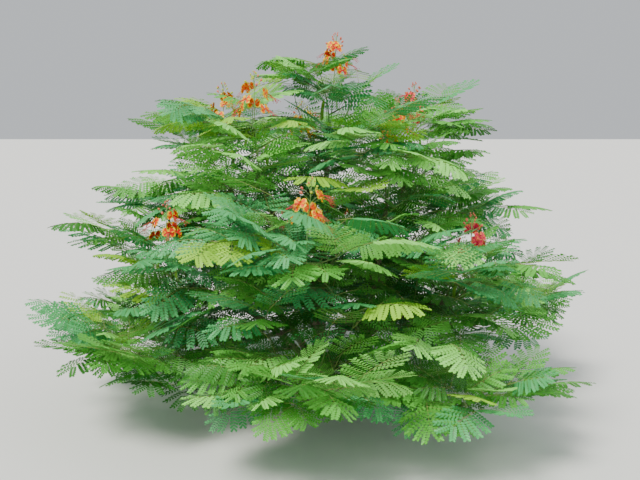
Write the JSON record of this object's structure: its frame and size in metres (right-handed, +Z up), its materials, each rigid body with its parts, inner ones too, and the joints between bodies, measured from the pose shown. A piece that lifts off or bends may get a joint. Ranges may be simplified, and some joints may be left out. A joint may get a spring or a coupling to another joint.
{
  "type": "peacock flower shrub",
  "caption": "Broad flowering garden shrub: short flared stem forking into boughs, flat tiers of feathery twice-divided leaves, upright spikes of red-orange flowers, buds and flat green pods.",
  "frame": {"origin": "middle of the flat cut at ground level, under the stem", "axes": "+Z straight up; the side of the shrub that the picture shows faces -Y, with +X to its right"},
  "size_m": [3.1305, 3.0936, 2.0644],
  "materials": {
    "bark": "rough grey-brown bark with pale pores and green-tinged patches",
    "green_bark": "smooth young bark, grey-green",
    "foliage": "soft matt leaf green, with blue-green and yellow-green sprays",
    "blossom": "soft petals, red-orange with crinkled yellow edges"
  },
  "bodies": {
    "root": {"stem": "bark", "bough_1": "bark", "bough_2": "bark", "bough_3": "bark", "bough_4": "bark", "bough_5": "bark", "bough_6": "bark", "leader": "bark", "low_bough_1": "green_bark", "low_bough_2": "green_bark", "low_bough_3": "green_bark", "low_bough_4": "green_bark", "low_bough_5": "green_bark", "low_bough_6": "green_bark", "low_bough_7": "green_bark", "upper_bough_1": "green_bark", "upper_bough_2": "green_bark", "upper_bough_3": "green_bark", "upper_bough_4": "green_bark", "upper_bough_5": "green_bark", "foliage_low_1": "foliage", "foliage_low_2": "foliage", "foliage_low_3": "foliage", "foliage_low_4": "foliage", "foliage_low_5": "foliage", "foliage_low_6": "foliage", "foliage_low_7": "foliage", "foliage_mid_1": "foliage", "foliage_mid_2": "foliage", "foliage_mid_3": "foliage", "foliage_mid_4": "foliage", "foliage_mid_5": "foliage", "foliage_mid_6": "foliage", "foliage_upper_1": "foliage", "foliage_upper_2": "foliage", "foliage_upper_3": "foliage", "foliage_upper_4": "foliage", "foliage_upper_5": "foliage", "foliage_top_1": "foliage", "flowers_mid_1": "blossom", "flowers_mid_2": "blossom", "flowers_mid_3": "blossom", "flowers_mid_5": "blossom", "flowers_upper_1": "blossom", "flowers_upper_2": "blossom", "flowers_upper_3": "blossom", "flowers_upper_4": "blossom", "flowers_upper_5": "blossom", "flowers_top_1": "blossom"}
  },
  "joints": []
}
